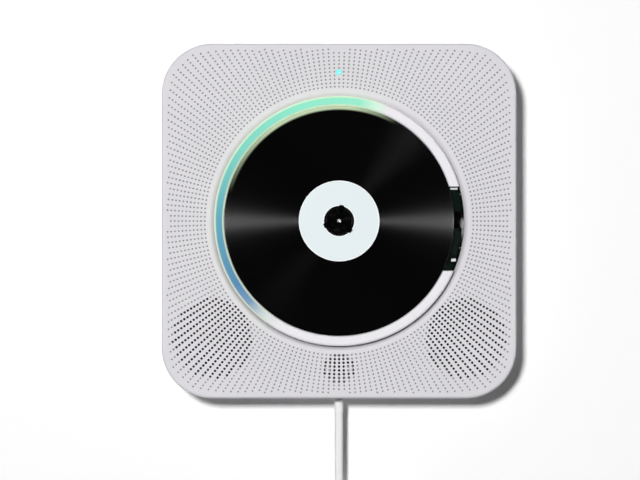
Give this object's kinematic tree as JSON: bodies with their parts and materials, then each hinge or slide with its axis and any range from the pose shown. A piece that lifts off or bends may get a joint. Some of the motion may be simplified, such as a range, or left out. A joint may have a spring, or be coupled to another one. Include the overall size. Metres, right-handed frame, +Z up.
{
  "type": "wall mounted cd player",
  "caption": "Wall mounted disc player: square white housing, open spinning disc inside a raised light ring, two speaker grilles below, pull cord switch and a wall bracket.",
  "frame": {"origin": "middle of the wall bracket's back face, on the disc's axis", "axes": "+Z up, -Y out of the wall towards the user, +X to the right as seen from the front"},
  "size_m": [0.186, 0.0498, 0.4128],
  "materials": {
    "case_white": "smooth",
    "cover_back": "satin",
    "light_guide": "translucent",
    "steel": "satin",
    "screw_steel": "satin",
    "pad_rubber": "matte",
    "board_green": "satin",
    "board_dark": "satin",
    "chip_black": "matte",
    "lamp": "smooth",
    "indicator": "smooth",
    "socket_metal": "satin",
    "black_plastic": "satin",
    "disc_black": "polished",
    "label_white": "satin",
    "shaft_steel": "polished",
    "chassis_grey": "satin",
    "motor_can": "satin",
    "gear_white": "satin",
    "sled_black": "satin",
    "lens_black": "smooth",
    "speaker_frame": "satin",
    "magnet": "matte",
    "cone_black": "matte",
    "surround_rubber": "matte",
    "button_white": "smooth",
    "switch_body": "satin",
    "spring_steel": "satin",
    "cord_white": "matte",
    "plug_white": "smooth",
    "plug_metal": "polished"
  },
  "bodies": {
    "bracket": {"wall_bracket": "steel"},
    "player": {"front_cover": "case_white", "deck_tray": "case_white", "rear_cover": "cover_back", "wall_pads": "pad_rubber", "case_screws": "screw_steel", "light_ring": "light_guide", "ring_board": "board_green", "ring_lamps": "lamp", "indicator_lens": "indicator", "front_boards": "board_green", "remote_sensor": "black_plastic", "main_board": "board_green", "board_parts": "chip_black", "small_screws": "screw_steel", "io_board": "board_green", "usb_socket": "socket_metal", "audio_jack": "black_plastic", "key_board": "board_green", "key_switches": "chip_black", "speaker_frame_left": "speaker_frame", "speaker_frame_right": "speaker_frame", "speaker_magnet_left": "magnet", "speaker_magnet_right": "magnet", "speaker_surround_left": "surround_rubber", "speaker_surround_right": "surround_rubber", "speaker_gaskets": "pad_rubber", "mech_chassis": "chassis_grey", "dampers": "pad_rubber", "spindle_motor": "motor_can", "sled_motor": "motor_can", "deck_board": "board_dark", "guide_rods": "shaft_steel", "pull_switch": "switch_body", "return_spring": "spring_steel"},
    "spindle": {"turntable": "black_plastic", "spindle_shaft": "shaft_steel"},
    "disc": {"disc": "disc_black", "disc_label": "label_white"},
    "claw_top": {"claw_top": "black_plastic"},
    "claw_left": {"claw_left": "black_plastic"},
    "claw_right": {"claw_right": "black_plastic"},
    "sled": {"pickup_sled": "sled_black"},
    "lens": {"lens_holder": "lens_black"},
    "idler": {"idler_gear": "gear_white"},
    "pinion": {"sled_pinion": "gear_white"},
    "volume_down": {"button_volume_down": "button_white"},
    "volume_up": {"button_volume_up": "button_white"},
    "play": {"button_play": "button_white"},
    "previous": {"button_previous": "button_white"},
    "next": {"button_next": "button_white"},
    "pull": {"pull_slider": "switch_body", "cord_sleeve": "cord_white", "cord": "cord_white", "cord_hank": "cord_white", "cord_tie": "plug_white", "cord_plug": "plug_white", "plug_shell": "plug_metal"},
    "cone_left": {"speaker_cone_left": "cone_black"},
    "cone_right": {"speaker_cone_right": "cone_black"}
  },
  "joints": [
    {"name": "housing_lift", "type": "slide", "parent": "bracket", "child": "player", "axis": [0, 0, 1], "range_m": [0, 0.009]},
    {"name": "spindle_spin", "type": "hinge", "parent": "player", "child": "spindle", "pos_m": [0, 0, 0], "axis": [0, -1, 0], "continuous": true},
    {"name": "disc_lift", "type": "slide", "parent": "spindle", "child": "disc", "axis": [0, -1, 0], "range_m": [0, 0.03]},
    {"name": "claw_top_press", "type": "slide", "parent": "spindle", "child": "claw_top", "axis": [-0.1736, 0, -0.9848], "range_m": [0, 0.0011], "stiffness_N_per_m": 400, "springref_m": -0.0005},
    {"name": "claw_left_press", "type": "slide", "parent": "spindle", "child": "claw_left", "axis": [0.9511, 0, 0.309], "range_m": [0, 0.0011], "stiffness_N_per_m": 400, "springref_m": -0.0005},
    {"name": "claw_right_press", "type": "slide", "parent": "spindle", "child": "claw_right", "axis": [-0.7547, 0, 0.6561], "range_m": [0, 0.0011], "stiffness_N_per_m": 400, "springref_m": -0.0005},
    {"name": "sled_slide", "type": "slide", "parent": "player", "child": "sled", "axis": [1, 0, 0], "range_m": [0, 0.035]},
    {"name": "idler_turn", "type": "hinge", "parent": "player", "child": "idler", "pos_m": [0.036, -0.035, -0.025], "axis": [0, -1, 0], "range_deg": [-670, 5]},
    {"name": "pinion_turn", "type": "hinge", "parent": "player", "child": "pinion", "pos_m": [0.02603, -0.035, -0.02965], "axis": [0, -1, 0], "range_deg": [-5, 2275]},
    {"name": "lens_focus", "type": "slide", "parent": "sled", "child": "lens", "axis": [0, -1, 0], "range_m": [-0.0004, 0.0004], "stiffness_N_per_m": 80},
    {"name": "volume_down_press", "type": "slide", "parent": "player", "child": "volume_down", "axis": [0, 0, -1], "range_m": [0, 0.0006], "stiffness_N_per_m": 900, "springref_m": -0.0006},
    {"name": "volume_up_press", "type": "slide", "parent": "player", "child": "volume_up", "axis": [0, 0, -1], "range_m": [0, 0.0006], "stiffness_N_per_m": 900, "springref_m": -0.0006},
    {"name": "play_press", "type": "slide", "parent": "player", "child": "play", "axis": [0, 0, -1], "range_m": [0, 0.0006], "stiffness_N_per_m": 900, "springref_m": -0.0006},
    {"name": "previous_press", "type": "slide", "parent": "player", "child": "previous", "axis": [0, 0, -1], "range_m": [0, 0.0006], "stiffness_N_per_m": 900, "springref_m": -0.0006},
    {"name": "next_press", "type": "slide", "parent": "player", "child": "next", "axis": [0, 0, -1], "range_m": [0, 0.0006], "stiffness_N_per_m": 900, "springref_m": -0.0006},
    {"name": "cord_pull", "type": "slide", "parent": "player", "child": "pull", "axis": [0, 0, -1], "range_m": [0, 0.004], "stiffness_N_per_m": 2500, "springref_m": -0.002, "deforming": ["return_spring"]},
    {"name": "cone_left_slide", "type": "slide", "parent": "player", "child": "cone_left", "axis": [0, -1, 0], "range_m": [-0.0008, 0.0008], "stiffness_N_per_m": 1500, "deforming": ["speaker_surround_left"]},
    {"name": "cone_right_slide", "type": "slide", "parent": "player", "child": "cone_right", "axis": [0, -1, 0], "range_m": [-0.0008, 0.0008], "stiffness_N_per_m": 1500, "deforming": ["speaker_surround_right"]}
  ],
  "couplings": [
    {"joint": "idler_turn", "follows": "sled_slide", "rad_per_m": -333.33},
    {"joint": "pinion_turn", "follows": "sled_slide", "rad_per_m": 1133.3}
  ]
}
